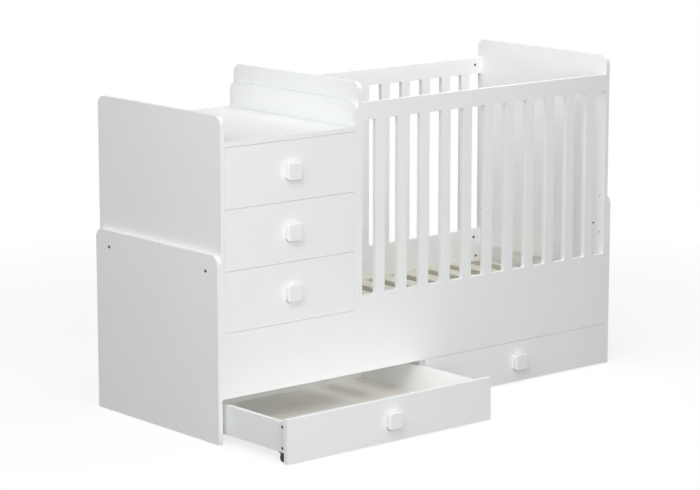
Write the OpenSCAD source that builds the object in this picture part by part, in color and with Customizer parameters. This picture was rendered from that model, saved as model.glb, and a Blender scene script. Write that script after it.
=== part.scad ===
// Crib with attached changer: a low bed frame with two roll-out drawers, a chest of three
// drawers under a changing top at the left, and a slatted crib at the right.
// X runs along the length, the fronts face -Y, Z is up. The origin is on the floor, in the
// middle of the closed case.

/* [Case] */
// Length over the two low end panels
length = 1732; // [1640:4:1840]
// Depth from the front faces to the back faces
depth = 650; // [620:2:700]
// Thickness of every laminated board
board = 16; // [15:1:18]
// Top of the low end panels
low_end_top = 602; // [570:2:640]
// Underside of the long front panel
long_bottom = 145; // [138:1:155]
// Top of the long panels, on which chest and crib stand
long_top = 338; // [326:2:350]
// Underside of the long back panel
back_bottom = 20; // [10:1:40]
// Radius of the rounded upper corners
corner_r = 30; // [10:2:50]
// Height of the floor glides
glide_h = 2; // [1:0.5:4]

/* [Chest] */
// Clear width between the chest sides
chest_clear = 525; // [460:5:560]
// Top of the chest sides
chest_side_top = 1037; // [1000:1:1060]
// Upper face of the changing top
changing_z = 955; // [930:1:970]
// Gap above and below each drawer front
front_gap = 1; // [1:0.5:4]
// Length of the chest drawer sides
chest_box_len = 500; // [440:10:560]
// Height of the chest drawer sides
chest_box_h = 120; // [80:5:140]

/* [Crib] */
// Top of the two crib ends
crib_end_top = 1096; // [1070:2:1140]
// Top of the fences
fence_top = 1030; // [1000:2:1050]
// Height of the fence's upper rail
fence_rail_h = 57; // [40:1:80]
// Height of the fence's lower rail
fence_foot_h = 60; // [50:1:90]
// Number of upright slats in a fence
fence_slats = 11; // [10:1:12]
// Width of an upright slat
fence_slat_w = 38; // [34:1:42]
// Corner radius of the slots between the slats
slot_r = 3; // [1:0.5:8]

/* [Mattress base] */
// Upper face of the base, in its lowest place
base_z = 287; // [280:1:295]
// Number of base slats
base_slat_count = 8; // [7:1:8]
// Width of a base slat
base_slat_w = 66; // [50:1:75]
// Thickness of a base slat
base_slat_t = 18; // [12:1:20]
// Distance from one base slat to the next
base_pitch = 121; // [100:1:126]
// Width of the front and back rails of the base
base_side_w = 30; // [26:1:40]
// Width of the end rails of the base
base_end_w = 40; // [30:1:50]
// Height of the base's rails
base_rail_h = 36; // [30:1:40]

/* [Roll-out drawers] */
// How far the left drawer stands open
pull_out = 318; // [0:2:540]
// Underside of the roll-out fronts
roll_front_bottom = 4; // [3:0.5:12]
// Gap at each end of a roll-out front
roll_end_gap = 1; // [1:0.5:4]
// How far the box stands in from the end of its front
roll_inset = 13; // [11:1:17]
// Underside of the roll-out box
roll_box_z = 31; // [30:0.5:34]
// Height of the roll-out sides
roll_side_h = 92; // [70:1:96]
// Length of the roll-out sides
roll_box_len = 612; // [500:2:616]
// Thickness of the drawer bottoms and of the chest back
sheet = 4; // [3:0.5:5]

/* [Knobs] */
// Side of the square knob plate
knob_w = 56; // [40:1:64]
// Thickness of the knob plate
knob_plate = 11; // [8:0.5:16]
// Depth of the narrower neck
knob_neck = 13; // [8:0.5:18]
// Corner radius of the knob plate
knob_r = 9; // [4:0.5:14]

/* [Wheels] */
// Diameter of a drawer wheel
wheel_d = 26; // [24:0.5:28]
// Width of a drawer wheel
wheel_w = 9; // [6:0.5:10]
// Diameter of a wheel axle
axle_d = 4; // [3:0.5:6]

/* [Hidden] */

// Main planes of the case
end_x = length / 2;
inner_x = end_x - board;
front_y = -depth / 2;
back_y = depth / 2;
inner_front_y = front_y + board;
inner_back_y = back_y - board;

// Chest and crib along X
chest_x0 = -inner_x + board;
chest_x1 = chest_x0 + chest_clear;
crib_x0 = chest_x1 + 2 * board;
crib_x1 = inner_x - board;
crib_clear = crib_x1 - crib_x0;

// Chest along Z
chest_floor = long_top + board;
chest_fronts_h = changing_z - board - chest_floor;
front_h = (chest_fronts_h - 4 * front_gap) / 3;
chest_end_gap = 0.5;
chest_side_play = 3.5;
box_lift = 14;

// Fence slots
slot_count = fence_slats + 1;
slot_w = (crib_clear - fence_slats * fence_slat_w) / slot_count;
slot_z0 = long_top + fence_foot_h;
slot_z1 = fence_top - fence_rail_h;

// Mattress base
base_run = (base_slat_count - 1) * base_pitch + base_slat_w;
base_x0 = crib_x0 + (crib_clear - base_run) / 2;
base_bottom = base_z - base_rail_h;
base_side_y = inner_back_y - base_side_w;
notch = 12;
slip = 0.1;

// Roll-out drawers
roll_front_top = long_bottom - front_gap;
roll_front_len = (2 * inner_x - 4 * roll_end_gap) / 2;
roll_centre_x = inner_x / 2;
roll_box_w = roll_front_len - 2 * roll_inset;
wheel_from_front = 43;
wheel_from_end = 36;

// Fasteners
cam_d = 10;
cam_depth = 12.5;
cam_gap = 0.1;
cam_sunk = 0.8;
cam_slot_l = 6.5;
cam_slot_w = 1.4;
cam_slot_t = 1.8;
cam_reach = 34;
fence_cam_reach = 30;
pin_d = 5;
pin_gap = 0.1;
pin_depth = 11;
bolt_d = 7;
bolt_head_d = 10;
bolt_head_t = 1.5;
bolt_hole_d = bolt_d + 0.4;
left_bolt_z = 549;
left_bolt_y = [-265, 251];
right_bolt_z = 501;
right_bolt_y = [-274, 274];
level_hole_z = [472, 602];
level_hole_y = 22;
glide_d = 14;
glide_in = 60;
strip_t = 10;
strip_h = 16;
groove_depth = 7.4;
groove_h = strip_h + 1;
groove_start = 15;

// Long panel cams at each end, on the inner face
long_cam_z = [long_top - 40, long_top - 153];
fence_cam_z = [fence_top - 25, long_top + 31];

// A block from one corner to the opposite one
module block(p0, p1) {
  translate(p0) cube(p1 - p0);
}

// A rectangle whose two upper corners are rounded
module round_top(u0, u1, v0, v1, r) {
  difference() {
    translate([u0, v0]) square([u1 - u0, v1 - v0]);
    for (side = [0, 1])
      translate([side == 0 ? u0 : u1, v1]) mirror([side, 0]) difference() {
        translate([-1, -r]) square([r + 1, r + 1]);
        translate([r, -r]) circle(r, $fn = 64);
      }
  }
}

// A board that stands across the length, with rounded upper corners
module cross_board(x, z0, z1) {
  translate([x, 0, 0]) rotate([90, 0, 90])
    linear_extrude(board) round_top(front_y, back_y, z0, z1, corner_r);
}

// A cylinder along X, from x0 to x1
module rod_x(x0, x1, y, z, d) {
  translate([x0, y, z]) rotate([0, 90, 0]) cylinder(d = d, h = x1 - x0, $fn = 48);
}

// A cylinder along Y, from y0 to y1
module rod_y(x, y0, y1, z, d) {
  translate([x, y0, z]) rotate([-90, 0, 0]) cylinder(d = d, h = y1 - y0, $fn = 48);
}

// A cylinder along Z, from z0 to z1
module rod_z(x, y, z0, z1, d) {
  translate([x, y, z0]) cylinder(d = d, h = z1 - z0, $fn = 48);
}

// A cam lock seated in the face at the origin, its slotted head facing +Z
module cam() {
  difference() {
    translate([0, 0, -cam_depth])
      cylinder(d = cam_d - 2 * cam_gap, h = cam_depth - cam_sunk, $fn = 48);
    for (turn = [0, 90]) rotate([0, 0, turn])
      translate([-cam_slot_l / 2, -cam_slot_w / 2, -cam_sunk - cam_slot_t])
        cube([cam_slot_l, cam_slot_w, cam_slot_t + 1]);
  }
}

// The round pocket of a cam lock
module cam_pocket() {
  translate([0, 0, -cam_depth]) cylinder(d = cam_d, h = cam_depth + 1, $fn = 48);
}

// Puts its children on the inner face of a front (side -1) or back (side 1) board
module on_inner_face(side, x, z) {
  translate([x, side * inner_back_y, z]) rotate([side * 90, 0, 0]) children();
}

// Places of the cams in the long panels
module at_long_cams(side) {
  for (end = [-1, 1], z = long_cam_z)
    on_inner_face(side, end * (inner_x - cam_reach), z) children();
}

// Places of the cams in the fences
module at_fence_cams(side) {
  for (x = [crib_x0 + fence_cam_reach, crib_x1 - fence_cam_reach], z = fence_cam_z)
    on_inner_face(side, x, z) children();
}

// Places of the cams under the changing top and on the chest bottom
chest_cam_y = [-250, 230];
module at_chest_cams(z, down) {
  for (x = [chest_x0 + cam_reach, chest_x1 - cam_reach], y = chest_cam_y)
    translate([x, y, z]) rotate([down ? 180 : 0, 0, 0]) children();
}

// Places of the cams in the centre divider, on its +X face
divider_cam_z = [180, 235];
module at_divider_cams() {
  for (side = [-1, 1], z = divider_cam_z)
    translate([board / 2, side * (inner_back_y - cam_reach), z]) rotate([0, 90, 0]) children();
}

// Pins that the cams pull on. Each runs from its cam through the board's end and on
// into the neighbouring board.
pin_hole_d = pin_d + 2 * pin_gap;

// A pin stops short of its cam, and its bore runs on into the cam's pocket
function bore_over(d) = d > pin_d ? 3 : 0;

module long_pins(d) {
  for (side = [-1, 1], end = [-1, 1], z = long_cam_z)
    pin_x(end, inner_x, cam_reach, side * (inner_back_y + board / 2), z, d);
}

module fence_pins(d) {
  for (side = [-1, 1], z = fence_cam_z) {
    pin_x(1, crib_x1, fence_cam_reach, side * (inner_back_y + board / 2), z, d);
    pin_x(-1, -crib_x0, fence_cam_reach, side * (inner_back_y + board / 2), z, d);
  }
}

module chest_pins(d) {
  for (y = chest_cam_y, z = [changing_z - board / 2, chest_floor - board / 2]) {
    pin_x(1, chest_x1, cam_reach, y, z, d);
    pin_x(-1, -chest_x0, cam_reach, y, z, d);
  }
}

module divider_pins(d) {
  for (side = [-1, 1], z = divider_cam_z)
    mirror([0, side < 0 ? 1 : 0, 0])
      rod_y(0, inner_back_y - cam_reach + cam_d / 2 - bore_over(d), inner_back_y + pin_depth, z, d);
}

// A pin along X through the joint at end * joint_x, from its cam to the neighbouring board
module pin_x(end, joint_x, reach, y, z, d) {
  mirror([end < 0 ? 1 : 0, 0, 0])
    rod_x(joint_x - reach + cam_d / 2 - bore_over(d), joint_x + pin_depth, y, z, d);
}

// ---- Low frame ----

module low_end(x, bolt_y, bolt_z) {
  difference() {
    cross_board(x, glide_h, low_end_top);
    for (y = bolt_y)
      rod_x(x - 1, x + board + 1, y, bolt_z, bolt_hole_d);
    long_pins(pin_hole_d);
  }
}

module left_low_end() {
  color("white") low_end(-end_x, left_bolt_y, left_bolt_z);
}

module right_low_end() {
  color("white") low_end(inner_x, right_bolt_y, right_bolt_z);
}

module front_long_panel() {
  color("white") difference() {
    block([-inner_x, front_y, long_bottom], [inner_x, inner_front_y, long_top]);
    at_long_cams(-1) cam_pocket();
    long_pins(pin_hole_d);
    divider_pins(pin_hole_d);
    at_base_screws() screw_hole();
  }
}

module back_long_panel() {
  color("white") difference() {
    block([-inner_x, inner_back_y, back_bottom], [inner_x, back_y, long_top]);
    at_long_cams(1) cam_pocket();
    long_pins(pin_hole_d);
    divider_pins(pin_hole_d);
    at_base_screws() screw_hole();
  }
}

// The divider keeps clear of the roll-out fronts below the long front panel
module centre_divider() {
  color("white") difference() {
    block([-board / 2, inner_front_y, glide_h], [board / 2, inner_back_y, base_bottom]);
    block([-board, inner_front_y - 1, 0], [board, inner_front_y + 3, long_bottom]);
    at_divider_cams() cam_pocket();
    divider_pins(pin_hole_d);
  }
}

// ---- Chest ----

rebate = 8;

module chest_side(x, inner_dir) {
  difference() {
    cross_board(x, long_top, chest_side_top);
    // rebate that the back sheet lies in
    translate([x + (inner_dir > 0 ? board - rebate : -1), back_y - sheet, long_top - 1])
      cube([rebate + 1, sheet + 1, changing_z - long_top]);
    chest_pins(pin_hole_d);
  }
}

module chest_left_side() {
  color("white") difference() {
    chest_side(chest_x0 - board, 1);
    for (y = left_bolt_y)
      rod_x(chest_x0 - board - 1, chest_x0 + 1, y, left_bolt_z, bolt_hole_d);
  }
}

module chest_right_side() {
  color("white") difference() {
    chest_side(chest_x1, -1);
    middle_bolt_holes();
  }
}

module chest_bottom() {
  color("white") difference() {
    block([chest_x0, front_y, long_top], [chest_x1, back_y - sheet, chest_floor]);
    at_chest_cams(chest_floor, false) cam_pocket();
    chest_pins(pin_hole_d);
  }
}

module chest_back() {
  color("white") block([chest_x0 - rebate + slip, back_y - sheet, long_top],
    [chest_x1 + rebate - slip, back_y, changing_z - 1 - slip]);
}

module changing_top() {
  color("white") difference() {
    block([chest_x0, front_y, changing_z - board], [chest_x1, back_y - sheet, changing_z]);
    at_chest_cams(changing_z - board, true) cam_pocket();
    chest_pins(pin_hole_d);
  }
}

// ---- Crib ----

module level_holes(x) {
  for (side = [-1, 1], z = level_hole_z)
    rod_x(x - 5, x + 5, side * (back_y - level_hole_y), z, 5);
}

module crib_left_end() {
  color("white") difference() {
    cross_board(chest_x1 + board, long_top, crib_end_top);
    level_holes(crib_x0 + 1);
    fence_pins(pin_hole_d);
    middle_bolt_holes();
  }
}

module crib_right_end() {
  color("white") difference() {
    cross_board(crib_x1, long_top, crib_end_top);
    level_holes(crib_x1 - 1);
    fence_pins(pin_hole_d);
    for (y = right_bolt_y)
      rod_x(crib_x1 - 1, inner_x + 1, y, right_bolt_z, bolt_hole_d);
  }
}

// One upright opening of a fence, as an outline
module slot_outline() {
  translate([slot_r, slot_r]) square([slot_w - 2 * slot_r, slot_z1 - slot_z0 - 2 * slot_r]);
  translate([0, slot_r]) square([slot_w, slot_z1 - slot_z0 - 2 * slot_r]);
  translate([slot_r, 0]) square([slot_w - 2 * slot_r, slot_z1 - slot_z0]);
  for (x = [slot_r, slot_w - slot_r], z = [slot_r, slot_z1 - slot_z0 - slot_r])
    translate([x, z]) circle(slot_r, $fn = 32);
}

// A fence is one board with a row of slots
module fence(side) {
  y = side < 0 ? inner_front_y : back_y;
  difference() {
    translate([0, y, 0]) rotate([90, 0, 0]) linear_extrude(board) difference() {
      translate([crib_x0, long_top]) square([crib_clear, fence_top - long_top]);
      for (i = [0 : slot_count - 1])
        translate([crib_x0 + i * (slot_w + fence_slat_w), slot_z0]) slot_outline();
    }
    at_fence_cams(side) cam_pocket();
    fence_pins(pin_hole_d);
  }
}

module front_fence() {
  color("white") fence(-1);
}

module back_fence() {
  color("white") fence(1);
}

// ---- Mattress base ----

base_play = 0.5;
base_rail_x0 = crib_x0 + base_play;
base_rail_x1 = crib_x1 - base_play;
slat_end_y = base_side_y + notch;

// Screws stand in the first, the middle and the last gap between the slats
base_screw_gaps = [0, floor((base_slat_count - 2) / 2), base_slat_count - 2];
base_screw_z = base_z - base_rail_h / 2;

module at_base_screws() {
  for (side = [-1, 1], gap = base_screw_gaps)
    translate([base_x0 + (gap + 0.5) * base_pitch + base_slat_w / 2, side * base_side_y,
        base_screw_z])
      rotate([side * 90, 0, 0]) children();
}

module slats(gap) {
  for (i = [0 : base_slat_count - 1])
    block([base_x0 + i * base_pitch - gap, -slat_end_y - gap, base_z - base_slat_t - gap],
      [base_x0 + i * base_pitch + base_slat_w + gap, slat_end_y + gap, base_z + gap]);
}

module base_side_rails() {
  color("whitesmoke") for (side = [-1, 1]) difference() {
    block([base_rail_x0, side < 0 ? -inner_back_y : base_side_y, base_bottom],
      [base_rail_x1, side < 0 ? -base_side_y : inner_back_y, base_z]);
    slats(slip);
    at_base_screws() screw_hole();
  }
}

module base_end_rails() {
  color("whitesmoke") for (x = [base_rail_x0, base_rail_x1 - base_end_w])
    block([x, -base_side_y, base_bottom], [x + base_end_w, base_side_y, base_z]);
}

module base_slats() {
  color("burlywood") slats(0);
}

// A countersunk wood screw whose head faces +Z, flush with the face at the origin. It goes
// through the rail and on into the long panel.
screw_head_d = 8;
screw_head_h = 3;
screw_d = 4;
screw_len = base_side_w + 10;

module screw_body(gap) {
  translate([0, 0, -screw_len - gap])
    cylinder(d = screw_d + 2 * gap, h = screw_len + gap, $fn = 32);
  translate([0, 0, -screw_head_h])
    cylinder(d1 = screw_d + 2 * gap, d2 = screw_head_d + 2 * gap, h = screw_head_h, $fn = 32);
}

module screw_hole() {
  screw_body(slip);
}

module base_screws() {
  color("dimgray") at_base_screws() difference() {
    screw_body(0);
    translate([-2.4, -0.5, -1.2]) cube([4.8, 1, 2]);
    translate([-0.5, -2.4, -1.2]) cube([1, 4.8, 2]);
  }
}

// ---- Fasteners, runners and glides of the case ----

module cam_locks() {
  color("dimgray") {
    for (side = [-1, 1]) {
      at_long_cams(side) cam();
      at_fence_cams(side) cam();
    }
    at_chest_cams(changing_z - board, true) cam();
    at_chest_cams(chest_floor, false) cam();
    at_divider_cams() cam();
  }
}

module cam_pins() {
  color("silver") {
    long_pins(pin_d);
    fence_pins(pin_d);
    chest_pins(pin_d);
    divider_pins(pin_d);
  }
}

// A connecting bolt along X through two boards, with its flat head on the outer one
module panel_bolt(outer_x, inward, y, z) {
  x0 = inward > 0 ? outer_x : outer_x - 2 * board;
  head_x = inward > 0 ? outer_x - bolt_head_t : outer_x;
  rod_x(x0, x0 + 2 * board, y, z, bolt_d);
  difference() {
    rod_x(head_x, head_x + bolt_head_t, y, z, bolt_head_d);
    translate([inward > 0 ? head_x - 1 : head_x + bolt_head_t - 1, y, z]) rotate([0, 90, 0])
      cylinder(d = 4.6, h = 2, $fn = 6);
  }
}

module panel_bolts() {
  color("dimgray") {
    for (y = left_bolt_y) panel_bolt(-end_x, 1, y, left_bolt_z);
    for (y = right_bolt_y) panel_bolt(end_x, -1, y, right_bolt_z);
    at_middle_bolts() panel_bolt(chest_x1, 1, 0, 0);
  }
}

function chest_front_z(i) = chest_floor + front_gap + i * (front_h + front_gap);
function chest_box_bottom(i) = chest_front_z(i) + box_lift;
function strip_z(i) = chest_box_bottom(i) + sheet + chest_box_h / 2;

// Bolts between chest and crib, in the free height above the lowest and the highest drawer box
module at_middle_bolts() {
  for (y = chest_cam_y, i = [0, 2])
    translate([0, y, chest_box_bottom(i) + sheet + chest_box_h + 28]) children();
}

module middle_bolt_holes() {
  at_middle_bolts() rod_x(chest_x1 - 1, crib_x0 + 1, 0, 0, bolt_hole_d);
}

module runner_strips() {
  strip_y0 = inner_front_y + groove_start + 0.5;
  strip_y1 = inner_front_y + chest_box_len - 20;
  color("gainsboro") for (i = [0 : 2], x = [chest_x0, chest_x1 - strip_t])
    block([x, strip_y0, strip_z(i) - strip_h / 2],
      [x + strip_t, strip_y1, strip_z(i) + strip_h / 2]);
}

module floor_glides() {
  color("gray") {
    for (x = [-end_x + board / 2, end_x - board / 2], y = [front_y + glide_in, back_y - glide_in])
      rod_z(x, y, 0, glide_h, glide_d);
    for (y = [front_y + glide_in, 0, back_y - glide_in])
      rod_z(0, y, 0, glide_h, glide_d);
  }
}

// ---- Chest drawers, closed ----

box_x0 = chest_x0 + chest_side_play;
box_x1 = chest_x1 - chest_side_play;

module chest_front(i) {
  block([chest_x0 + chest_end_gap, front_y, chest_front_z(i)],
    [chest_x1 - chest_end_gap, inner_front_y, chest_front_z(i) + front_h]);
}

module chest_sides(i) {
  z0 = chest_box_bottom(i) + sheet;
  y1 = inner_front_y + chest_box_len;
  for (right = [0, 1]) {
    x0 = right == 0 ? box_x0 : box_x1 - board;
    groove_x = right == 0 ? x0 - 1 : x0 + board - groove_depth;
    difference() {
      block([x0, inner_front_y, z0], [x0 + board, y1, z0 + chest_box_h]);
      block([groove_x, inner_front_y + groove_start, strip_z(i) - groove_h / 2],
        [groove_x + groove_depth + 1, y1 + 1, strip_z(i) + groove_h / 2]);
    }
  }
}

module chest_box_back(i) {
  z0 = chest_box_bottom(i) + sheet;
  y1 = inner_front_y + chest_box_len;
  block([box_x0 + board, y1 - board, z0], [box_x1 - board, y1, z0 + chest_box_h]);
}

module chest_box_sheet(i) {
  z0 = chest_box_bottom(i);
  block([box_x0, inner_front_y, z0], [box_x1, inner_front_y + chest_box_len, z0 + sheet]);
}

// A knob with its neck on the plane y = face and its plate in front of it
module knob(x, face, z) {
  translate([x, face, z]) rotate([90, 0, 0]) {
    linear_extrude(knob_neck) rounded_square(knob_w - 10, knob_r - 2);
    translate([0, 0, knob_neck]) linear_extrude(knob_plate) rounded_square(knob_w, knob_r);
  }
}

module rounded_square(w, r) {
  square([w, w - 2 * r], center = true);
  square([w - 2 * r, w], center = true);
  for (x = [-1, 1], y = [-1, 1])
    translate([x * (w / 2 - r), y * (w / 2 - r)]) circle(r, $fn = 48);
}

module chest_knob(i) {
  knob((chest_x0 + chest_x1) / 2, front_y, chest_front_z(i) + front_h / 2);
}

module top_drawer_front() { color("white") chest_front(2); }
module top_drawer_sides() { color("white") chest_sides(2); }
module top_drawer_back() { color("white") chest_box_back(2); }
module top_drawer_bottom() { color("whitesmoke") chest_box_sheet(2); }
module top_knob() { color("white") chest_knob(2); }
module middle_drawer_front() { color("white") chest_front(1); }
module middle_drawer_sides() { color("white") chest_sides(1); }
module middle_drawer_back() { color("white") chest_box_back(1); }
module middle_drawer_bottom() { color("whitesmoke") chest_box_sheet(1); }
module middle_knob() { color("white") chest_knob(1); }
module bottom_drawer_front() { color("white") chest_front(0); }
module bottom_drawer_sides() { color("white") chest_sides(0); }
module bottom_drawer_back() { color("white") chest_box_back(0); }
module bottom_drawer_bottom() { color("whitesmoke") chest_box_sheet(0); }
module bottom_knob() { color("white") chest_knob(0); }

// ---- Roll-out drawers: side -1 is the left one, which stands open, and 1 the right one ----

module roll(side) {
  translate([side * roll_centre_x, side < 0 ? -pull_out : 0, 0]) children();
}

roll_half = roll_box_w / 2;
roll_end_y = inner_front_y + roll_box_len;
roll_cam_y = inner_front_y + 24;
roll_cam_z = [roll_box_z + 14, roll_box_z + 81];
wheel_z = wheel_d / 2;
fork_top_t = 2.5;
fork_cheek = 3;
fork_r = 6;
fork_plate = 34;
wheel_y = [front_y + wheel_from_front, roll_end_y - wheel_from_end];

module at_roll_cams() {
  for (end = [-1, 1], z = roll_cam_z)
    translate([end * roll_half, roll_cam_y, z]) rotate([0, end * 90, 0]) children();
}

module roll_pins(d) {
  for (end = [-1, 1], z = roll_cam_z)
    rod_y(end * (roll_half - board / 2), inner_front_y - pin_depth,
      roll_cam_y - cam_d / 2 + bore_over(d), z, d);
}

module roll_front() {
  difference() {
    block([-roll_front_len / 2, front_y, roll_front_bottom],
      [roll_front_len / 2, inner_front_y, roll_front_top]);
    roll_pins(pin_hole_d);
  }
}

module roll_sides() {
  z0 = roll_box_z + sheet;
  difference() {
    for (end = [-1, 1])
      block([end < 0 ? -roll_half : roll_half - board, inner_front_y, z0],
        [end < 0 ? -roll_half + board : roll_half, roll_end_y, z0 + roll_side_h]);
    at_roll_cams() cam_pocket();
    roll_pins(pin_hole_d);
  }
}

module roll_back() {
  z0 = roll_box_z + sheet;
  block([-roll_half + board, roll_end_y - board, z0],
    [roll_half - board, roll_end_y, z0 + roll_side_h]);
}

module roll_bottom() {
  block([-roll_half, inner_front_y, roll_box_z],
    [roll_half, roll_end_y, roll_box_z + sheet]);
}

module roll_knob() {
  knob(0, front_y, (roll_front_bottom + roll_front_top) / 2);
}

module roll_fasteners() {
  at_roll_cams() cam();
  roll_pins(pin_d);
}

// Places of the four wheels under the sides: end -1 left or 1 right, row 0 front or 1 rear
module at_wheel(end, row) {
  translate([end * (roll_half - board / 2), wheel_y[row], 0]) children();
}

// A fork of a top plate and two cheeks
module fork() {
  difference() {
    union() {
      for (x = [-board / 2, board / 2 - fork_cheek]) {
        rod_x(x, x + fork_cheek, 0, wheel_z, 2 * fork_r);
        block([x, -fork_r, wheel_z], [x + fork_cheek, fork_r, roll_box_z - fork_top_t]);
      }
      block([-board / 2, -fork_plate / 2, roll_box_z - fork_top_t],
        [board / 2, fork_plate / 2, roll_box_z]);
    }
    rod_x(-board, board, 0, wheel_z, axle_d);
  }
}

// The axle pin is pressed into the cheeks
module axle() {
  rod_x(-board / 2, board / 2, 0, wheel_z, axle_d);
}

module roll_forks() {
  for (end = [-1, 1], row = [0, 1]) at_wheel(end, row) {
    fork();
    axle();
  }
}

// A wheel with a grooved tread and a raised hub, turning freely on its axle
module wheel() {
  r = wheel_d / 2;
  bore = axle_d / 2 + 0.05;
  w = wheel_w / 2;
  translate([0, 0, wheel_z]) rotate([0, 90, 0]) rotate_extrude($fn = 96)
    polygon([[bore, -w], [5, -w], [6, -w + 1], [r - 4, -w + 1], [r - 3, -w], [r - 1, -w],
      [r, -w + 1], [r, w - 1], [r - 1, w], [r - 3, w], [r - 4, w - 1], [6, w - 1],
      [5, w], [bore, w]]);
}

module left_roll_front() { color("white") roll(-1) roll_front(); }
module left_roll_sides() { color("white") roll(-1) roll_sides(); }
module left_roll_back() { color("white") roll(-1) roll_back(); }
module left_roll_bottom() { color("whitesmoke") roll(-1) roll_bottom(); }
module left_roll_knob() { color("white") roll(-1) roll_knob(); }
module left_roll_fasteners() { color("dimgray") roll(-1) roll_fasteners(); }
module left_roll_forks() { color("black") roll(-1) roll_forks(); }
module right_roll_front() { color("white") roll(1) roll_front(); }
module right_roll_sides() { color("white") roll(1) roll_sides(); }
module right_roll_back() { color("white") roll(1) roll_back(); }
module right_roll_bottom() { color("whitesmoke") roll(1) roll_bottom(); }
module right_roll_knob() { color("white") roll(1) roll_knob(); }
module right_roll_fasteners() { color("dimgray") roll(1) roll_fasteners(); }
module right_roll_forks() { color("black") roll(1) roll_forks(); }

module left_roll_wheel_front_left() { color("black") roll(-1) at_wheel(-1, 0) wheel(); }
module left_roll_wheel_front_right() { color("black") roll(-1) at_wheel(1, 0) wheel(); }
module left_roll_wheel_rear_left() { color("black") roll(-1) at_wheel(-1, 1) wheel(); }
module left_roll_wheel_rear_right() { color("black") roll(-1) at_wheel(1, 1) wheel(); }
module right_roll_wheel_front_left() { color("black") roll(1) at_wheel(-1, 0) wheel(); }
module right_roll_wheel_front_right() { color("black") roll(1) at_wheel(1, 0) wheel(); }
module right_roll_wheel_rear_left() { color("black") roll(1) at_wheel(-1, 1) wheel(); }
module right_roll_wheel_rear_right() { color("black") roll(1) at_wheel(1, 1) wheel(); }

left_low_end();
right_low_end();
front_long_panel();
back_long_panel();
centre_divider();
chest_left_side();
chest_right_side();
chest_bottom();
chest_back();
changing_top();
crib_left_end();
crib_right_end();
front_fence();
back_fence();
base_side_rails();
base_end_rails();
base_slats();
base_screws();
cam_locks();
cam_pins();
panel_bolts();
runner_strips();
floor_glides();
top_drawer_front();
top_drawer_sides();
top_drawer_back();
top_drawer_bottom();
top_knob();
middle_drawer_front();
middle_drawer_sides();
middle_drawer_back();
middle_drawer_bottom();
middle_knob();
bottom_drawer_front();
bottom_drawer_sides();
bottom_drawer_back();
bottom_drawer_bottom();
bottom_knob();
left_roll_front();
left_roll_sides();
left_roll_back();
left_roll_bottom();
left_roll_knob();
left_roll_fasteners();
left_roll_forks();
right_roll_front();
right_roll_sides();
right_roll_back();
right_roll_bottom();
right_roll_knob();
right_roll_fasteners();
right_roll_forks();
left_roll_wheel_front_left();
left_roll_wheel_front_right();
left_roll_wheel_rear_left();
left_roll_wheel_rear_right();
right_roll_wheel_front_left();
right_roll_wheel_front_right();
right_roll_wheel_rear_left();
right_roll_wheel_rear_right();
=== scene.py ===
import math
import bmesh
import bpy
from mathutils import Matrix, Vector


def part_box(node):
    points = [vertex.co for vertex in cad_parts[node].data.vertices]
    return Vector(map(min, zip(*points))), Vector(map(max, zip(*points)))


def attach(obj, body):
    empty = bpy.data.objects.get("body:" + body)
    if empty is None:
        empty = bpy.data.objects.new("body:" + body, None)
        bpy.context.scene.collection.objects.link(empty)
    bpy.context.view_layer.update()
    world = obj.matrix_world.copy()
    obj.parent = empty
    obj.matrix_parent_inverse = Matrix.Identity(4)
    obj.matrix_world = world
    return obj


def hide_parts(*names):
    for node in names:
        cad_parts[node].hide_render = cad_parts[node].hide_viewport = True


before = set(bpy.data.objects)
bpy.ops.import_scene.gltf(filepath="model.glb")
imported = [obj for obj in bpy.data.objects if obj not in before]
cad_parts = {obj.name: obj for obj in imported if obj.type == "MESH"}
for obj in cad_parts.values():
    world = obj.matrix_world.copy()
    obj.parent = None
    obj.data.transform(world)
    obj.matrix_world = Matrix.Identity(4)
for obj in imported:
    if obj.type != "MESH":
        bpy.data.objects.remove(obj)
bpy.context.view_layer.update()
mm = 0.001
slack = 0.1 * mm  # how far off its place an edge or face may lie and still be chosen
fine = 0.01 * mm
straight = 0.9  # least share of a normal along the axis that a face looks along
print("frame loaded")

# Camera, placed first so that every look at the crib has the same view

cameraSetup = {
    "place": (-5.743, -6.710, 2.185),
    "turn": 40.295,  # degrees from +Y towards +X
    "tilt": 10.899,  # degrees below the horizon
    "lens": 136.44, "sensor": 36, "reach": 60,
}


def addCamera():
    lens = bpy.data.cameras.new("viewCamera")
    lens.lens = cameraSetup["lens"]
    lens.sensor_width = cameraSetup["sensor"]
    lens.clip_end = cameraSetup["reach"]
    camera = bpy.data.objects.new("viewCamera", lens)
    camera.location = cameraSetup["place"]
    tilt = math.radians(90 - cameraSetup["tilt"])
    camera.rotation_euler = (tilt, 0, -math.radians(cameraSetup["turn"]))
    bpy.context.scene.collection.objects.link(camera)
    bpy.context.scene.camera = camera


addCamera()


# Working tools

def deselectAll():
    active = bpy.context.view_layer.objects.active
    if active and active.mode != "OBJECT":
        bpy.ops.object.mode_set(mode="OBJECT")
    bpy.ops.object.select_all(action="DESELECT")


def pick(*pieces):
    deselectAll()
    for piece in pieces:
        piece.select_set(True)
    bpy.context.view_layer.objects.active = pieces[0]


def named(name):
    piece = bpy.context.object
    piece.name = name
    piece.data.name = name
    bpy.ops.object.transform_apply(location=True, rotation=True, scale=True)
    return piece


def addBlock(name, low, high):
    deselectAll()
    low = Vector(low)
    high = Vector(high)
    bpy.ops.mesh.primitive_cube_add(size=1, location=(low + high) / 2, scale=high - low)
    return named(name)


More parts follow.
